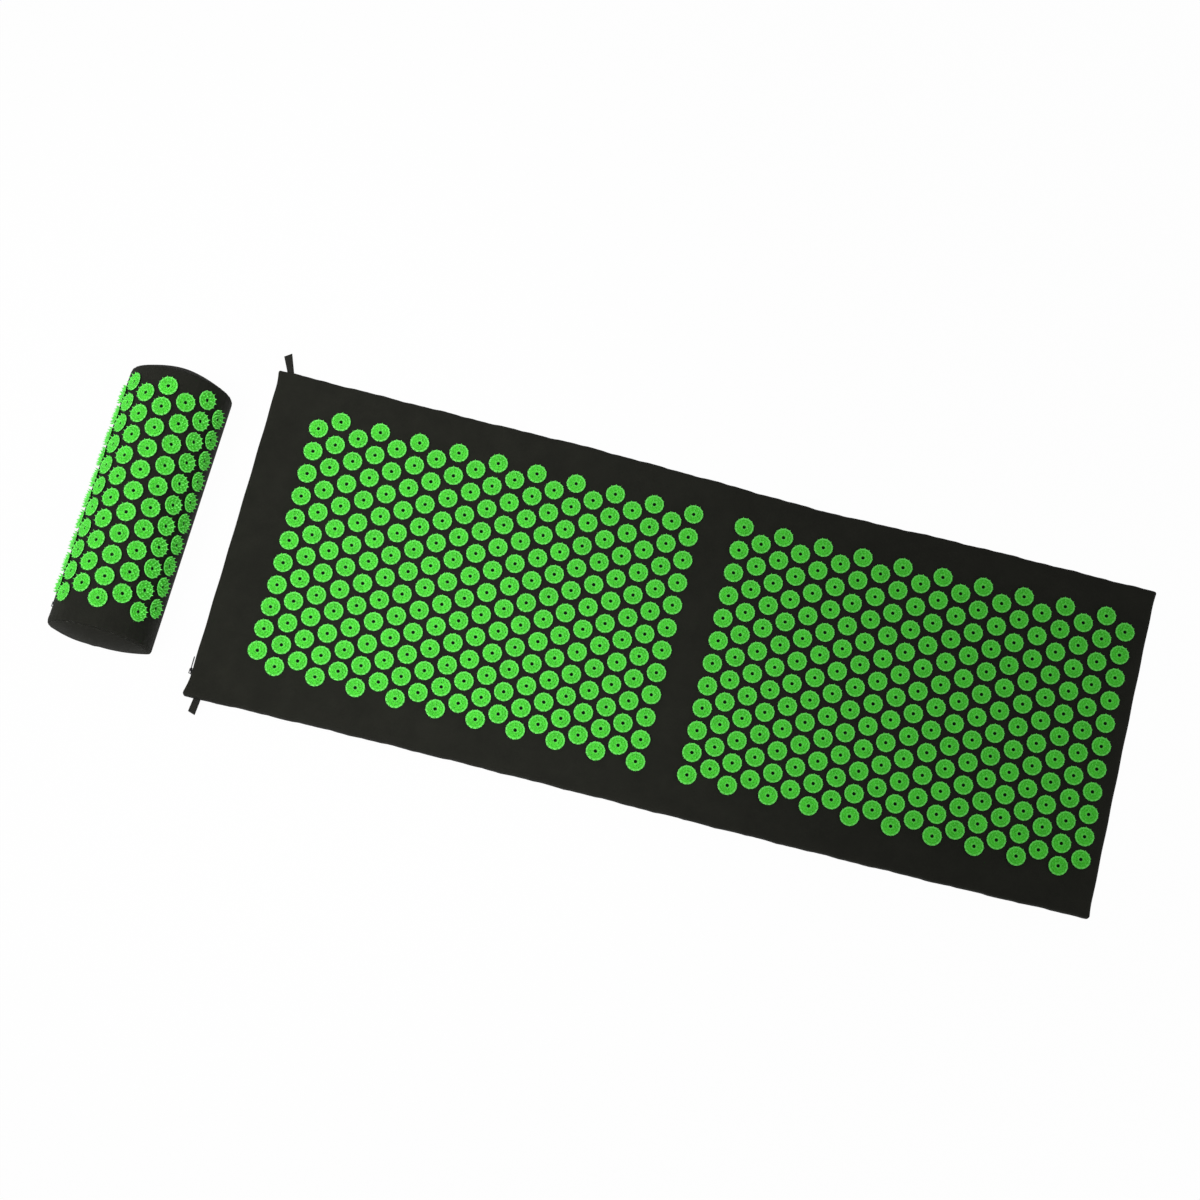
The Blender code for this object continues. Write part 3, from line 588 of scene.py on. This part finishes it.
def folded_ribbon(sign, root_x, lean, skew):
    """The ribbon's middle sheet: a hairpin path, out, round the tip and back, carried across it.

    The path starts inside the seam, by a share loop_tuck of its run. The layers lie close at the
    root and bow apart a little on the way to the tip. A point shifts along the seam by the lean,
    and outwards by the skew, both in proportion to how far out it is.
    """
    tip = loop_length - loop_tip_radius
    run = np.linspace(-loop_tuck, 1, 14)
    bow = loop_root_bow + (loop_tip_radius - loop_root_bow) * ease(run * 1.1)
    turn = np.linspace(90, -90, 9)[1:-1] * math.pi / 180
    out = np.concatenate([run * tip, tip + loop_tip_radius * np.cos(turn), (run * tip)[::-1]])
    up = np.concatenate([bow, loop_tip_radius * np.sin(turn), -bow[::-1]])
    across = np.linspace(-0.5, 0.5, 7) * loop_width
    out_grid, across_grid = np.meshgrid(out, across, indexing="ij")
    up_grid = np.broadcast_to(up[:, None], out_grid.shape)
    curl = loop_curl * (out_grid / loop_length) ** 2 * (across_grid / loop_width)
    along = across_grid * sign
    points = np.stack([root_x + along + lean * out_grid,
                       sign * (loop_seam_y + out_grid * (1 + skew * along / loop_length)),
                       mat_half_thickness + up_grid + curl], axis=-1)
    return points, laid_flat(points)


ribbon = woven_finish("grosgrain_ribbon", ribbon_rib, ribbon_dark, ribbon_light, ribbon_relief,
                      roughness=0.7, rib=True)
for side, lay in loop_lays.items():
    sign = lay["sign"]
    points, cloth = folded_ribbon(**lay)
    loop = sewn_sheet(f"{side}_ribbon_loop", points, cloth)
    layers = loop.modifiers.new("ribbon", "SOLIDIFY")
    layers.thickness = ribbon_thickness
    layers.offset = 0
    loop.data.materials.append(ribbon)
    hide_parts(f"{side}_loop")
    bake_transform(loop)

# Zips
# A nylon coil zip closes each cover, along the mat's head end and low on the pillow's back wall.
# Each row of coil is sewn along its tape; the slider, pull tab and end stops are black metal.

zip_row_edge = 0.0022
zip_row_inner = 0.0004
zip_tape_inner = 0.0006
zip_tape_reach = 0.0060
zip_tape_face = -0.0023
zip_tape_thickness = 0.0006
zip_tape_wave = 0.00006
zip_tape_thread = 0.0006
zip_tape_dark = (0.0075, 0.0075, 0.0070, 1)
zip_tape_light = (0.0125, 0.0125, 0.0115, 1)
zip_tape_relief = 0.00012
zip_coil_face = -0.0004
zip_coil_back = -0.0020
coil_pitch = 0.0015
coil_wire = 0.00026
coil_black = (0.006, 0.006, 0.006, 1)
coil_shine = (0.016, 0.016, 0.015, 1)
stop_length = 0.0030
stop_half_height = 0.0008
stop_roundness = 0.45
stop_gap = 0.0003
chain_end_gap = 0.002
lacquer_black = (0.022, 0.022, 0.024, 1)
lacquer_rubbed = (0.16, 0.16, 0.165, 1)
mat_tape_half = 0.223
pillow_tape_half = 0.1725


def zip_on_mat(along, across, outwards):
    """From the zip's own directions to the mat's head end, which faces -X."""
    return np.stack([-mat_half_length - outwards, -along, mat_half_thickness + across], axis=-1)


def coil_row(half, side):
    """A flattened coil along the tape, and the ring of its wire at each place.

    The wire runs once round a flat oval every pitch, and its section is a square.
    """
    turns = int(2 * half / coil_pitch)
    turn = np.linspace(0, math.tau * turns, turns * 8 + 1)
    middle = side * (zip_row_edge + zip_row_inner) / 2
    swing = (zip_row_edge - zip_row_inner) / 2 - coil_wire
    depth = (zip_coil_face - zip_coil_back) / 2 - coil_wire
    level = (zip_coil_face + zip_coil_back) / 2
    along = (turn / (math.tau * turns) - 0.5) * 2 * (half - coil_wire)
    round_wire = np.arange(4) * math.tau / 4
    grow = coil_wire * np.cos(round_wire)[None]
    u = along[:, None] + coil_wire * np.sin(round_wire)[None]
    v = middle - side * (swing + grow) * np.cos(turn)[:, None]
    n = level + (depth + grow) * np.sin(turn)[:, None]
    cloth = np.stack(np.meshgrid(turn * 0.0003, np.arange(5) * 0.0004, indexing="ij"), axis=-1)
    return (u, v, n), cloth


def zip_tape(half, side):
    """A thin strip along the coil, which waves a little along its outer edge."""
    u, v = np.meshgrid(np.linspace(-half, half, 90), np.linspace(zip_tape_inner, zip_tape_reach, 7),
                       indexing="ij")
    n = zip_tape_face - zip_tape_thickness / 2 + zip_tape_wave * np.sin(u * 210) * (v / zip_tape_reach)
    return (u, side * v, n), np.stack([u, v], axis=-1)


def end_stop(middle):
    """A crimped staple with rounded edges: a superellipsoid of latitude and longitude.

    Each sine and cosine is raised to the same power and keeps its sign.
    """
    around, up = np.meshgrid(np.linspace(0, math.tau, 17)[:-1], np.linspace(-90, 90, 9) * math.pi / 180,
                             indexing="ij")
    ring = np.abs(np.cos(up)) ** stop_roundness
    level = (zip_coil_face + zip_coil_back) / 2
    u = np.sign(np.cos(around)) * np.abs(np.cos(around)) ** stop_roundness
    u = middle + stop_length / 2 * ring * u
    v = np.sign(np.sin(around)) * np.abs(np.sin(around)) ** stop_roundness
    v = zip_row_edge * ring * v
    n = np.sign(np.sin(up)) * np.abs(np.sin(up)) ** stop_roundness
    n = level + stop_half_height * n
    places = np.meshgrid(np.arange(9) * 0.0005, np.arange(17) * 0.0005, indexing="ij")
    return (u.T, v.T, n.T), np.stack(places, axis=-1)


def coil_finish(name):
    """Nylon: near black and smooth, with a soft shine, and painted sheen in specks of noise."""
    material, tree, shader = new_finish(name, 0.32, Specular_IOR_Level=0.5)
    lay_on(tree, shader, mixed(tree, noise(tree, scale=700), coil_black, coil_shine))
    return material


def zip_metal_finish(name):
    """Black lacquer on cast metal, rubbed paler in small scuffs."""
    material, tree, shader = new_finish(name, 0.34, Metallic=0.85)
    scuff = noise(tree, scale=850, detail=8, roughness=0.7)
    colour = mixed(tree, share_of(tree, scuff, 0.55, 0.75), lacquer_black, lacquer_rubbed)
    lay_on(tree, shader, colour, scuff, 0.00008, 0.5)
    return material


zip_cloth = woven_finish("zip_tape_twill", zip_tape_thread, zip_tape_dark, zip_tape_light,
                         zip_tape_relief)
nylon = coil_finish("nylon_coil")
black_metal = zip_metal_finish("black_lacquer")


def sew_zip(owner, body, tape_half, to_frame):
    """All of one zip but its slider and pull tab, which keep the frame's own shapes."""
    chain_half = tape_half - stop_length - chain_end_gap
    for row, side in (("upper", 1), ("lower", -1)):
        grid, cloth = zip_tape(tape_half, side)
        tape = sewn_sheet(f"{owner}_zip_{row}_tape_cloth", to_frame(*grid), cloth, flip=side > 0)
        edge = tape.modifiers.new("tape", "SOLIDIFY")
        edge.thickness = zip_tape_thickness
        edge.offset = 0
        grid, cloth = coil_row(chain_half, side)
        coil = sewn_sheet(f"{owner}_zip_{row}_coil_wire", to_frame(*grid), cloth, around=True,
                          flip=side < 0)
        for piece, node, finish, slot in ((tape, "tape", zip_cloth, "zip_tape"),
                                          (coil, "coil", nylon, "zip_coil")):
            piece.data.materials.append(finish)
            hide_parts(f"{owner}_zip_{row}_{node}")
            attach(piece, body)
    for end, side in (("near", 1), ("far", -1)):
        grid, cloth = end_stop(side * (chain_half + stop_gap + stop_length / 2))
        stop = sewn_sheet(f"{owner}_zip_{end}_staple", to_frame(*grid), cloth, around=True, flip=True)
        stop.data.materials.append(black_metal)
        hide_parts(f"{owner}_zip_{end}_stop")
        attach(stop, body)
    for node in ("slider", "pull"):
        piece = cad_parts[f"{owner}_zip_{node}"]
        piece.data.materials.clear()
        piece.data.materials.append(black_metal)


sew_zip("mat", "head_half", mat_tape_half, zip_on_mat)

# Pillow cover
# The same canvas over a half-round foam core: an arched panel, a base panel that wraps up to the
# zip, and two domed end panels, sewn together inside out so that the seams lie a little sunken.

pillow_radius = 0.0743
pillow_edge = 0.0090
pillow_arc_z = 0.0180
pillow_zip_z = 0.0135
pillow_half_length = 0.1925
pillow_place = (-0.77628, -0.0096)
pillow_turn = math.radians(-1.3)
pillow_end_roll = 0.006
pillow_end_draw = 0.003
pillow_end_dome = 0.0150
pillow_end_puff = 0.0006
pillow_end_pucker = 0.0003
pillow_end_seam = 0.0003
pillow_end_middle_z = 0.0418
pillow_roll_power = 1.7
pillow_swell_from_z = 0.012
pillow_base_steps = 29
pillow_wall_steps = 3
pillow_hem = 0.003
pillow_hem_step = 0.0006
pillow_seam_gap = 0.00015
pillow_front_seam = math.radians(75)
pillow_zip_rim = 0.0031
pillow_zip_half_length = 0.1715
same_place = 1e-9


def in_row(points):
    """From the pillow's own frame to its place behind the mat's head end."""
    cos, sin = math.cos(pillow_turn), math.sin(pillow_turn)
    x, y, z = np.moveaxis(points, -1, 0)
    place_x, place_y = pillow_place
    return np.stack([place_x + x * cos - y * sin, place_y + x * sin + y * cos, z], axis=-1)


def section_line():
    """The pillow's section as a fine line with its outward directions and its length so far.

    It starts in the middle of the base and goes round by the mat's side: the base, a corner, a
    straight wall, the half circle, and the same down the back.
    """
    corner_x = pillow_radius - pillow_edge
    low = np.radians(np.linspace(-90, 0, 12))
    arch = np.radians(np.linspace(0, 180, 121))
    base = np.linspace(0, corner_x, pillow_base_steps + 1)[:-1]
    wall = np.linspace(pillow_edge, pillow_arc_z, pillow_wall_steps + 2)[1:-1]
    level = np.zeros(pillow_base_steps)
    upright = np.ones(pillow_wall_steps)
    x = np.concatenate([base, corner_x + pillow_edge * np.cos(low), pillow_radius * upright,
                        pillow_radius * np.cos(arch), -pillow_radius * upright,
                        -corner_x - pillow_edge * np.cos(low[::-1]), -base[::-1]])
    z = np.concatenate([level, pillow_edge + pillow_edge * np.sin(low), wall,
                        pillow_arc_z + pillow_radius * np.sin(arch), wall[::-1],
                        pillow_edge + pillow_edge * np.sin(low[::-1]), level])
    nx = np.concatenate([level, np.cos(low), upright, np.cos(arch), -upright,
                         -np.cos(low[::-1]), level])
    nz = np.concatenate([level - 1, np.sin(low), 0 * upright, np.sin(arch), 0 * upright,
                         np.sin(low[::-1]), level - 1])
    length = np.append(0, np.cumsum(np.hypot(np.diff(x), np.diff(z))))
    return x, z, nx, nz, length


def section_ring(skip=1):
    """The section as a closed ring, without doubled points, and with every skip-th of the rest."""
    lines = section_line()
    keep = np.append(np.diff(lines[-1]) > same_place, False)
    return [line[keep][::skip] for line in lines]


def pillow_swell(angle, y):
    """The arch's slow unevenness, in metres, by the angle round it and the place along it.

    Close to the ends the seams gather the cloth into short puckers.
    """
    swell = np.sin(angle * 5 + y * 19 + 0.6) * 0.5 + np.sin(y * 67 + angle * 2.3) * 0.5
    gather = np.exp(-(pillow_half_length - np.abs(y)) / 0.010)
    pucker = np.sin(angle * 41 + np.sign(y)) + 0.6 * np.sin(angle * 67 + 1.7)
    return 0.00035 * swell + 0.0004 * gather * pucker


def pillow_skin(start, end, columns, y, loose):
    """The skin between two lengths along the section, at the stations y.

    A point is the section's, moved in where the ends roll over, and out by the swell where the
    cloth is loose, which is 1 on the arch and 0 on the base.
    """
    x, z, nx, nz, length = section_line()
    along = np.linspace(start, end, columns)
    sx, sz, snx, snz = [np.interp(along, length, line) for line in (x, z, nx, nz)]
    to_end = np.clip((pillow_half_length - np.abs(y)) / pillow_end_roll, 0, 1)
    inset = pillow_end_draw * (1 - np.sqrt(to_end)) ** pillow_roll_power
    angle = np.arctan2(sx, sz - pillow_arc_z)
    swell = loose * pillow_swell(angle[None], y[:, None]) * (sz[None] > pillow_swell_from_z)
    out = swell - inset[:, None]
    station = np.broadcast_to(y[:, None], out.shape)
    points = np.stack([sx + snx * out, station, sz + snz * out], axis=-1)
    cloth = np.stack(np.meshgrid(y, along, indexing="ij"), axis=-1)
    return points, cloth


def pillow_stations():
    """Places along the pillow, close together where the ends roll over."""
    roll = pillow_half_length - pillow_end_roll * np.linspace(0, 1, 8) ** 2
    straight = pillow_half_length - pillow_end_roll
    middle = np.linspace(-straight, straight, 72)
    return np.concatenate([-roll[:-1], middle, roll[:-1][::-1]])


def hem(points, cloth, column):
    """Turns the first or the last column of a panel inwards, as its hem is folded."""
    edge = points[:, [column]].copy()
    edge[..., 0] *= 1 - pillow_hem / pillow_radius
    place = cloth[:, [column]].copy()
    if column == 0:
        place[..., 1] -= pillow_hem
        return np.hstack([edge, points]), np.hstack([place, cloth])
    place[..., 1] += pillow_hem
    return np.hstack([points, edge]), np.hstack([cloth, place])


section_lengths = section_line()[-1]
section_length = section_lengths[-1]
base_half = section_lengths[pillow_base_steps]
corner_length = math.radians(90) * pillow_edge
front_seam = base_half + pillow_front_seam * pillow_edge
back_zip = section_length - base_half - corner_length - (pillow_zip_z - pillow_edge)
stations = pillow_stations()
at_zip = ease((pillow_zip_half_length - np.abs(stations)) / zip_mouth)
rim = pillow_zip_rim * at_zip + pillow_seam_gap
hem_steps = pillow_hem_step * np.arange(3)

# The three lines of cloth beside the slit step back from it, so that the slider clears them.
points, cloth = pillow_skin(front_seam, back_zip, 120, stations, loose=1)
points[:, -3:, 2] = np.maximum(points[:, -3:, 2], pillow_zip_z + rim[:, None] + hem_steps[::-1])
points[:, -1, 2] = pillow_zip_z + rim
points, cloth = hem(points, cloth, -1)
pillow_arch = sewn_sheet("pillow_arched_panel", in_row(points), cloth)
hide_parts("pillow_top_panel")

points, cloth = pillow_skin(back_zip, section_length, 60, stations, loose=0)
points[:, :3, 2] = np.minimum(points[:, :3, 2], pillow_zip_z - rim[:, None] - hem_steps)
points[:, 0, 2] = pillow_zip_z - rim
front, front_cloth = pillow_skin(0, front_seam, 50, stations, loose=0)
front_cloth = front_cloth + [0, section_length]
points, cloth = np.hstack([points, front[:, 1:]]), np.hstack([cloth, front_cloth[:, 1:]])
points, cloth = hem(points, cloth, 0)
pillow_base = sewn_sheet("pillow_base_cloth", in_row(points), cloth)
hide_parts("pillow_base_panel")


def end_panel(sign):
    """A domed end: rings of the section, each smaller and further out, closed at a point.

    Going in from the seam by a share s of the way to the middle, it rises by the dome's height
    times 1 - (1 - s) squared. Short puckers fade out a little way in from the seam.
    """
    x, z, nx, nz, _ = section_ring()
    share = np.concatenate([np.linspace(0, 0.12, 8)[:-1], np.linspace(0.12, 1, 22)])[:, None]
    rim_x, rim_z = x - nx * pillow_end_draw, z - nz * pillow_end_draw
    middle_z = pillow_end_middle_z
    angle = np.arctan2(x, z - pillow_arc_z)[None]
    rise = pillow_end_dome * (1 - (1 - share) ** 2)
    rise = rise + pillow_end_puff * np.sin(angle * 2 + 1) * share * (1 - share) * 4
    pucker = pillow_end_pucker * np.sin(angle * 43 + sign) * np.exp(-share * 14) * (share > 0)
    end_y = sign * (pillow_half_length + pillow_end_seam + rise + pucker)
    points = np.stack([rim_x[None] * (1 - share), np.broadcast_to(end_y, (len(share), len(x))),
                       middle_z + (rim_z[None] - middle_z) * (1 - share)], axis=-1)
    cloth = points[..., [0, 2]]
    return points, np.hstack([cloth, cloth[:, :1]])


ends = []
for side, sign in (("near", -1), ("far", 1)):
    points, cloth = end_panel(sign)
    end = sewn_sheet(f"pillow_{side}_end_panel", in_row(points), cloth, around=True, flip=sign > 0)
    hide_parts(f"pillow_{side}_end")
    ends.append(end)
for piece in (pillow_arch, pillow_base, *ends):
    piece.data.materials.append(canvas)
    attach(piece, "pillow")

# Pillow core
# A half-round block of the same foam, with domed ends, that fills the cover. A shallow groove runs
# along its back, where the zip presses into it.

core_gap = 0.0016
core_half_length = 0.1860
core_dome = 0.0190
core_groove = 0.0030
core_groove_reach = 0.006
core_end_rings = 15
core_stations = 24
core_mean_radius = 0.06


def core_block():
    """The section, shrunk a little and carried along the block, with its ends closed to a point.

    Past the straight run its rings shrink by a share s, and rise by the dome's height times
    1 - (1 - s) squared. The groove fades with the fourth power of the distance from the zip.
    """
    x, z, nx, nz, length = section_ring(skip=2)
    groove = core_groove * np.exp(-((z - pillow_zip_z) / core_groove_reach) ** 4) * (x < 0)
    ring = np.linspace(1, 0, core_end_rings)[:-1] ** 1.5
    shrink = np.concatenate([ring, np.zeros(core_stations), ring[::-1]])
    far = core_half_length + core_dome * (1 - (1 - ring) ** 2)
    straight = np.linspace(-core_half_length, core_half_length, core_stations)
    y = np.concatenate([-far, straight, far[::-1]])
    inner_x = (x - nx * (core_gap + groove))[None] * (1 - shrink[:, None])
    inner_z = (z - nz * core_gap)[None] - pillow_end_middle_z
    inner_z = pillow_end_middle_z + inner_z * (1 - shrink[:, None])
    grid_y = np.broadcast_to(y[:, None], inner_x.shape)
    run = np.cumsum(np.hypot(np.gradient(y), np.gradient(shrink) * core_mean_radius))
    girth = np.append(length, section_length)
    cloth = np.stack(np.meshgrid(run, girth, indexing="ij"), axis=-1)
    return np.stack([inner_x, grid_y, inner_z], axis=-1), cloth


points, cloth = core_block()
core = sewn_sheet("pillow_foam_core", in_row(points), cloth, around=True)
core.data.materials.append(open_cell)
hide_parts("pillow_core")
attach(core, "pillow")

# Pillow discs
# The same moulded discs in seven columns round the arch, ten and eleven to a column in turn. The
# field sits a few millimetres off the pillow's middle, towards its far end and away from the mat.

pillow_field_y = 0.0065
pillow_pitch = 0.0318
pillow_column_angle = math.radians(22.6)
pillow_field_turn = math.radians(-3.1)
pillow_disc_seat = 0.0746
pillow_longest_column = 11
pillow_glue_error = 0.0002
pillow_glue_turn = 0.003


def pillow_disc_places(column):
    """One column's centres, which follow the cloth's swell, and the discs' directions."""
    count = pillow_longest_column - column % 2
    y = pillow_field_y + (np.arange(count) - (count - 1) / 2) * pillow_pitch
    y = y + chance.normal(0, pillow_glue_error, count)
    angle = column * pillow_column_angle + pillow_field_turn
    angle = angle + chance.normal(0, pillow_glue_turn, count)
    radius = pillow_disc_seat + pillow_swell(angle, y)
    up = np.stack([np.sin(angle), 0 * angle, np.cos(angle)], axis=-1)
    level = np.stack([np.cos(angle), 0 * angle, -np.sin(angle)], axis=-1)
    along = np.cross(up, level)
    spin = chance.uniform(0, math.tau, count)
    axes = np.stack([level * np.cos(spin)[:, None] + along * np.sin(spin)[:, None],
                     along * np.cos(spin)[:, None] - level * np.sin(spin)[:, None], up], axis=1)
    centres = np.stack([radius * np.sin(angle), y, pillow_arc_z + radius * np.cos(angle)], axis=-1)
    return centres, axes


columns = [pillow_disc_places(column) for column in range(-3, 4)]
centres = in_row(np.concatenate([place for place, _ in columns]))
axes = in_row(np.concatenate([turn for _, turn in columns])) - [*pillow_place, 0]
pillow_discs = disc_field("pillow_discs", centres, axes, moulded)
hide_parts(*[f"pillow_discs_{column}" for column in range(1, 8)])
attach(pillow_discs, "pillow")

# Pillow zip
# The same make of zip, low on the pillow's back wall, which faces away from the mat. Its slider
# runs between the hems of the arched panel and the base.


def zip_on_pillow(along, across, outwards):
    """From the zip's own directions to the pillow's back wall."""
    return in_row(np.stack([-pillow_radius - outwards, -along, pillow_zip_z + across], axis=-1))


sew_zip("pillow", "pillow", pillow_tape_half, zip_on_pillow)

# Floor and light
# A plain white floor and surround, one large soft lamp above the head end and a weaker one at the
# foot, so that the light falls off along the mat as it does in the photograph.

floor_half = 9.0
floor_z = -0.0008
floor_shade_share = 0.02
floor_white = (0.85, 0.85, 0.85, 1)
white = (1, 1, 1, 1)
surround_strength = 0.38


def white_ground(name, shade_share):
    """White where it is seen or mirrored, but for the share that takes the object's shadow."""
    material = bpy.data.materials.new(name)
    material.use_nodes = True
    tree = material.node_tree
    tree.nodes.clear()
    path = add_node(tree, "ShaderNodeLightPath").outputs
    seen = worked_out(tree, "ADD", path["Is Camera Ray"], path["Is Glossy Ray"])
    seen = worked_out(tree, "ADD", seen, path["Is Transmission Ray"], use_clamp=True)
    share = worked_out(tree, "MULTIPLY", seen, 1 - shade_share)
    matt = add_node(tree, "ShaderNodeBsdfDiffuse", {"Color": floor_white})
    glow = add_node(tree, "ShaderNodeEmission", {"Color": white, "Strength": 1.0})
    both = add_node(tree, "ShaderNodeMixShader", {0: share, 1: matt.outputs[0], 2: glow.outputs[0]})
    add_node(tree, "ShaderNodeOutputMaterial", {0: both.outputs[0]})
    return material


floor_mesh = bpy.data.meshes.new("floor")
floor_corners = [(side_x * floor_half, side_y * floor_half, floor_z)
                 for side_x, side_y in ((-1, -1), (1, -1), (1, 1), (-1, 1))]
floor_mesh.from_pydata(floor_corners, [], [(0, 1, 2, 3)])
floor_mesh.materials.append(white_ground("white_floor", floor_shade_share))
floor = bpy.data.objects.new("floor", floor_mesh)
collection.objects.link(floor)

surround = bpy.data.worlds.new("surround")
surround.use_nodes = True
bpy.context.scene.world = surround
tree = surround.node_tree
tree.nodes.clear()
path = add_node(tree, "ShaderNodeLightPath").outputs
seen = worked_out(tree, "ADD", path["Is Camera Ray"], path["Is Transmission Ray"], use_clamp=True)
strength = add_node(tree, "ShaderNodeMapRange", {0: seen, 3: surround_strength, 4: 1.0})
sky = add_node(tree, "ShaderNodeBackground", {0: white, 1: strength.outputs[0]})
add_node(tree, "ShaderNodeOutputWorld", {0: sky.outputs[0]})


def soft_lamp(name, place, aim, width, height, watts, spread):
    """A flat lamp that faces a point, fans out by the spread, and isn't seen itself."""
    light = bpy.data.lights.new(name, "AREA")
    light.shape = "RECTANGLE"
    light.size = width
    light.size_y = height
    light.energy = watts
    light.spread = spread
    lamp = bpy.data.objects.new(name, light)
    lamp.location = place
    direction = np.array(aim) - np.array(place)
    flat = math.hypot(direction[0], direction[1])
    lamp.rotation_euler = (math.atan2(flat, -direction[2]), 0,
                           math.atan2(direction[1], direction[0]) - math.pi / 2)
    lamp.visible_camera = False
    collection.objects.link(lamp)


soft_lamp("head_lamp", place=(-1.28, -0.45, 1.42), aim=(-0.58, 0.0, 0.0), width=1.5, height=1.0,
          watts=3.2, spread=math.radians(34))
soft_lamp("foot_lamp", place=(2.2, -0.6, 1.2), aim=(0.5, 0.0, 0.0), width=0.6, height=0.6,
          watts=6, spread=math.radians(180))
